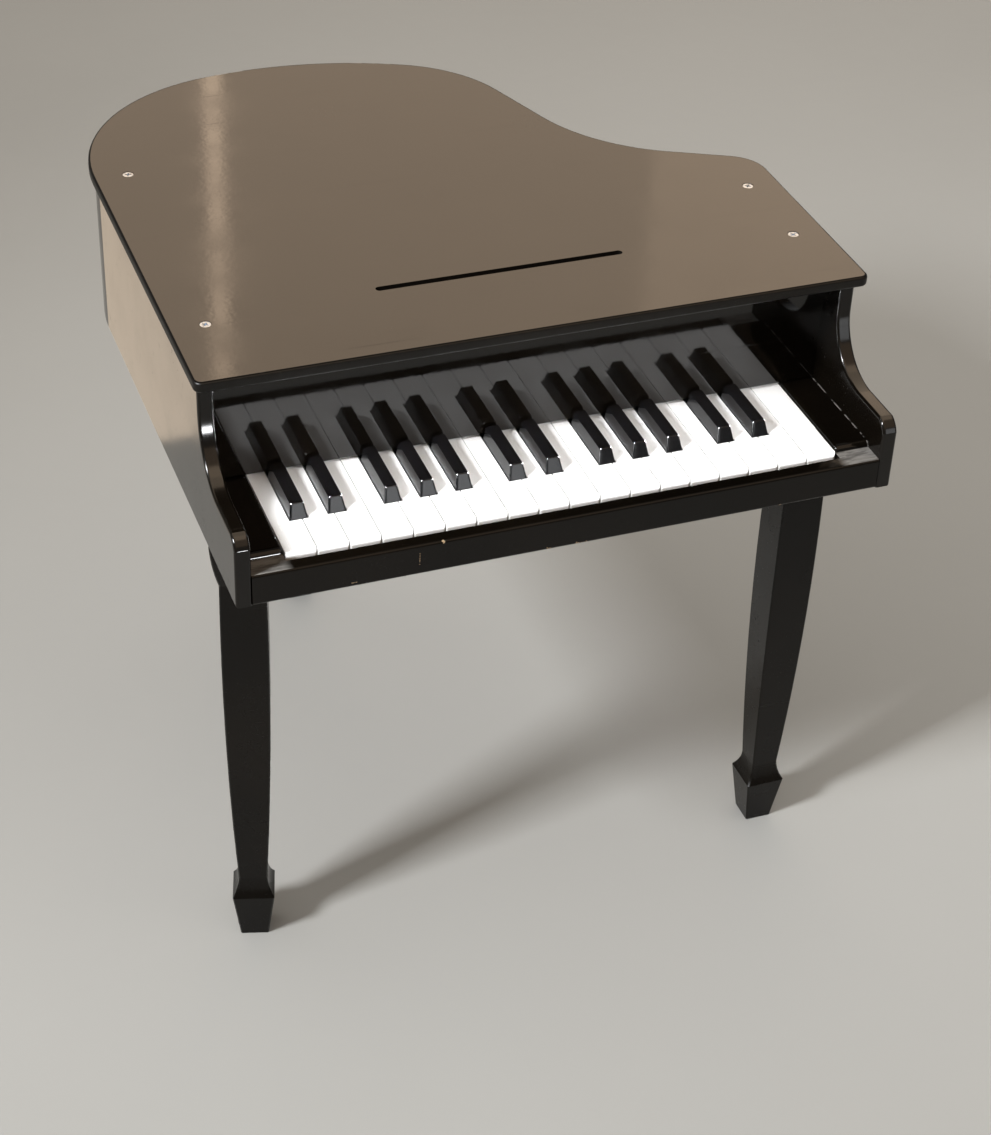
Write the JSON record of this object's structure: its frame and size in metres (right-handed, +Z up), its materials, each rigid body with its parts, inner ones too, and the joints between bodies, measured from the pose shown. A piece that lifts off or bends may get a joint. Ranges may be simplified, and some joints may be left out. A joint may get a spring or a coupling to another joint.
{
  "type": "toy piano",
  "caption": "Toy grand piano in black lacquer on three tapered spade-foot legs, with hinged white and black keys, direct-blow hammers and steel chime rods inside",
  "frame": {"origin": "on the floor, under the middle of the overall box", "axes": "+Z up, +X along the keyboard from bass to treble, -Y towards the player"},
  "size_m": [0.478, 0.508, 0.496],
  "materials": {
    "black_lacquer": "gloss",
    "fibreboard": "matte",
    "bare_wood": "matte",
    "white_key_plastic": "gloss",
    "black_key_plastic": "gloss",
    "felt": "matte",
    "bright_screw": "gloss",
    "chime_steel": "gloss",
    "cast_block": "matte"
  },
  "bodies": {
    "case": {"lid": "black_lacquer", "left_side": "black_lacquer", "right_side": "black_lacquer", "bent_rim": "black_lacquer", "front_rail": "black_lacquer", "fallboard": "black_lacquer", "left_key_block": "black_lacquer", "right_key_block": "black_lacquer", "left_leg": "black_lacquer", "right_leg": "black_lacquer", "rear_leg": "black_lacquer", "bottom_board": "fibreboard", "lid_cleats": "bare_wood", "fallboard_cleats": "bare_wood", "pivot_rail": "bare_wood", "back_rail": "bare_wood", "chime_posts": "bare_wood", "rear_leg_block": "bare_wood", "front_felt": "felt", "back_felt": "felt", "lid_screws": "bright_screw", "bottom_screws": "bright_screw", "rail_screws": "bright_screw", "chime_screws": "bright_screw", "leg_bolts": "bright_screw", "chime_rods": "chime_steel", "pivot_rod": "chime_steel", "chime_block": "cast_block"},
    "key_01_c": {"key_01_c": "white_key_plastic"},
    "key_02_c_sharp": {"key_02_c_sharp": "black_key_plastic"},
    "key_03_d": {"key_03_d": "white_key_plastic"},
    "key_04_d_sharp": {"key_04_d_sharp": "black_key_plastic"},
    "key_05_e": {"key_05_e": "white_key_plastic"},
    "key_06_f": {"key_06_f": "white_key_plastic"},
    "key_07_f_sharp": {"key_07_f_sharp": "black_key_plastic"},
    "key_08_g": {"key_08_g": "white_key_plastic"},
    "key_09_g_sharp": {"key_09_g_sharp": "black_key_plastic"},
    "key_10_a": {"key_10_a": "white_key_plastic"},
    "key_11_a_sharp": {"key_11_a_sharp": "black_key_plastic"},
    "key_12_b": {"key_12_b": "white_key_plastic"},
    "key_13_c": {"key_13_c": "white_key_plastic"},
    "key_14_c_sharp": {"key_14_c_sharp": "black_key_plastic"},
    "key_15_d": {"key_15_d": "white_key_plastic"},
    "key_16_d_sharp": {"key_16_d_sharp": "black_key_plastic"},
    "key_17_e": {"key_17_e": "white_key_plastic"},
    "key_18_f": {"key_18_f": "white_key_plastic"},
    "key_19_f_sharp": {"key_19_f_sharp": "black_key_plastic"},
    "key_20_g": {"key_20_g": "white_key_plastic"},
    "key_21_g_sharp": {"key_21_g_sharp": "black_key_plastic"},
    "key_22_a": {"key_22_a": "white_key_plastic"},
    "key_23_a_sharp": {"key_23_a_sharp": "black_key_plastic"},
    "key_24_b": {"key_24_b": "white_key_plastic"},
    "key_25_c": {"key_25_c": "white_key_plastic"},
    "key_26_c_sharp": {"key_26_c_sharp": "black_key_plastic"},
    "key_27_d": {"key_27_d": "white_key_plastic"},
    "key_28_d_sharp": {"key_28_d_sharp": "black_key_plastic"},
    "key_29_e": {"key_29_e": "white_key_plastic"},
    "key_30_f": {"key_30_f": "white_key_plastic"}
  },
  "joints": [
    {"name": "key_01_c_press", "type": "hinge", "parent": "case", "child": "key_01_c", "pos_m": [0, -0.11903, 0.3889], "axis": [1, 0, 0], "range_deg": [0, 2.64]},
    {"name": "key_02_c_sharp_press", "type": "hinge", "parent": "case", "child": "key_02_c_sharp", "pos_m": [0, -0.11903, 0.3889], "axis": [1, 0, 0], "range_deg": [0, 2.64]},
    {"name": "key_03_d_press", "type": "hinge", "parent": "case", "child": "key_03_d", "pos_m": [0, -0.11903, 0.3889], "axis": [1, 0, 0], "range_deg": [0, 2.64]},
    {"name": "key_04_d_sharp_press", "type": "hinge", "parent": "case", "child": "key_04_d_sharp", "pos_m": [0, -0.11903, 0.3889], "axis": [1, 0, 0], "range_deg": [0, 2.64]},
    {"name": "key_05_e_press", "type": "hinge", "parent": "case", "child": "key_05_e", "pos_m": [0, -0.11903, 0.3889], "axis": [1, 0, 0], "range_deg": [0, 2.64]},
    {"name": "key_06_f_press", "type": "hinge", "parent": "case", "child": "key_06_f", "pos_m": [0, -0.11903, 0.3889], "axis": [1, 0, 0], "range_deg": [0, 2.64]},
    {"name": "key_07_f_sharp_press", "type": "hinge", "parent": "case", "child": "key_07_f_sharp", "pos_m": [0, -0.11903, 0.3889], "axis": [1, 0, 0], "range_deg": [0, 2.64]},
    {"name": "key_08_g_press", "type": "hinge", "parent": "case", "child": "key_08_g", "pos_m": [0, -0.11903, 0.3889], "axis": [1, 0, 0], "range_deg": [0, 2.64]},
    {"name": "key_09_g_sharp_press", "type": "hinge", "parent": "case", "child": "key_09_g_sharp", "pos_m": [0, -0.11903, 0.3889], "axis": [1, 0, 0], "range_deg": [0, 2.64]},
    {"name": "key_10_a_press", "type": "hinge", "parent": "case", "child": "key_10_a", "pos_m": [0, -0.11903, 0.3889], "axis": [1, 0, 0], "range_deg": [0, 2.64]},
    {"name": "key_11_a_sharp_press", "type": "hinge", "parent": "case", "child": "key_11_a_sharp", "pos_m": [0, -0.11903, 0.3889], "axis": [1, 0, 0], "range_deg": [0, 2.64]},
    {"name": "key_12_b_press", "type": "hinge", "parent": "case", "child": "key_12_b", "pos_m": [0, -0.11903, 0.3889], "axis": [1, 0, 0], "range_deg": [0, 2.64]},
    {"name": "key_13_c_press", "type": "hinge", "parent": "case", "child": "key_13_c", "pos_m": [0, -0.11903, 0.3889], "axis": [1, 0, 0], "range_deg": [0, 2.64]},
    {"name": "key_14_c_sharp_press", "type": "hinge", "parent": "case", "child": "key_14_c_sharp", "pos_m": [0, -0.11903, 0.3889], "axis": [1, 0, 0], "range_deg": [0, 2.64]},
    {"name": "key_15_d_press", "type": "hinge", "parent": "case", "child": "key_15_d", "pos_m": [0, -0.11903, 0.3889], "axis": [1, 0, 0], "range_deg": [0, 2.64]},
    {"name": "key_16_d_sharp_press", "type": "hinge", "parent": "case", "child": "key_16_d_sharp", "pos_m": [0, -0.11903, 0.3889], "axis": [1, 0, 0], "range_deg": [0, 2.64]},
    {"name": "key_17_e_press", "type": "hinge", "parent": "case", "child": "key_17_e", "pos_m": [0, -0.11903, 0.3889], "axis": [1, 0, 0], "range_deg": [0, 2.64]},
    {"name": "key_18_f_press", "type": "hinge", "parent": "case", "child": "key_18_f", "pos_m": [0, -0.11903, 0.3889], "axis": [1, 0, 0], "range_deg": [0, 2.64]},
    {"name": "key_19_f_sharp_press", "type": "hinge", "parent": "case", "child": "key_19_f_sharp", "pos_m": [0, -0.11903, 0.3889], "axis": [1, 0, 0], "range_deg": [0, 2.64]},
    {"name": "key_20_g_press", "type": "hinge", "parent": "case", "child": "key_20_g", "pos_m": [0, -0.11903, 0.3889], "axis": [1, 0, 0], "range_deg": [0, 2.64]},
    {"name": "key_21_g_sharp_press", "type": "hinge", "parent": "case", "child": "key_21_g_sharp", "pos_m": [0, -0.11903, 0.3889], "axis": [1, 0, 0], "range_deg": [0, 2.64]},
    {"name": "key_22_a_press", "type": "hinge", "parent": "case", "child": "key_22_a", "pos_m": [0, -0.11903, 0.3889], "axis": [1, 0, 0], "range_deg": [0, 2.64]},
    {"name": "key_23_a_sharp_press", "type": "hinge", "parent": "case", "child": "key_23_a_sharp", "pos_m": [0, -0.11903, 0.3889], "axis": [1, 0, 0], "range_deg": [0, 2.64]},
    {"name": "key_24_b_press", "type": "hinge", "parent": "case", "child": "key_24_b", "pos_m": [0, -0.11903, 0.3889], "axis": [1, 0, 0], "range_deg": [0, 2.64]},
    {"name": "key_25_c_press", "type": "hinge", "parent": "case", "child": "key_25_c", "pos_m": [0, -0.11903, 0.3889], "axis": [1, 0, 0], "range_deg": [0, 2.64]},
    {"name": "key_26_c_sharp_press", "type": "hinge", "parent": "case", "child": "key_26_c_sharp", "pos_m": [0, -0.11903, 0.3889], "axis": [1, 0, 0], "range_deg": [0, 2.64]},
    {"name": "key_27_d_press", "type": "hinge", "parent": "case", "child": "key_27_d", "pos_m": [0, -0.11903, 0.3889], "axis": [1, 0, 0], "range_deg": [0, 2.64]},
    {"name": "key_28_d_sharp_press", "type": "hinge", "parent": "case", "child": "key_28_d_sharp", "pos_m": [0, -0.11903, 0.3889], "axis": [1, 0, 0], "range_deg": [0, 2.64]},
    {"name": "key_29_e_press", "type": "hinge", "parent": "case", "child": "key_29_e", "pos_m": [0, -0.11903, 0.3889], "axis": [1, 0, 0], "range_deg": [0, 2.64]},
    {"name": "key_30_f_press", "type": "hinge", "parent": "case", "child": "key_30_f", "pos_m": [0, -0.11903, 0.3889], "axis": [1, 0, 0], "range_deg": [0, 2.64]}
  ]
}
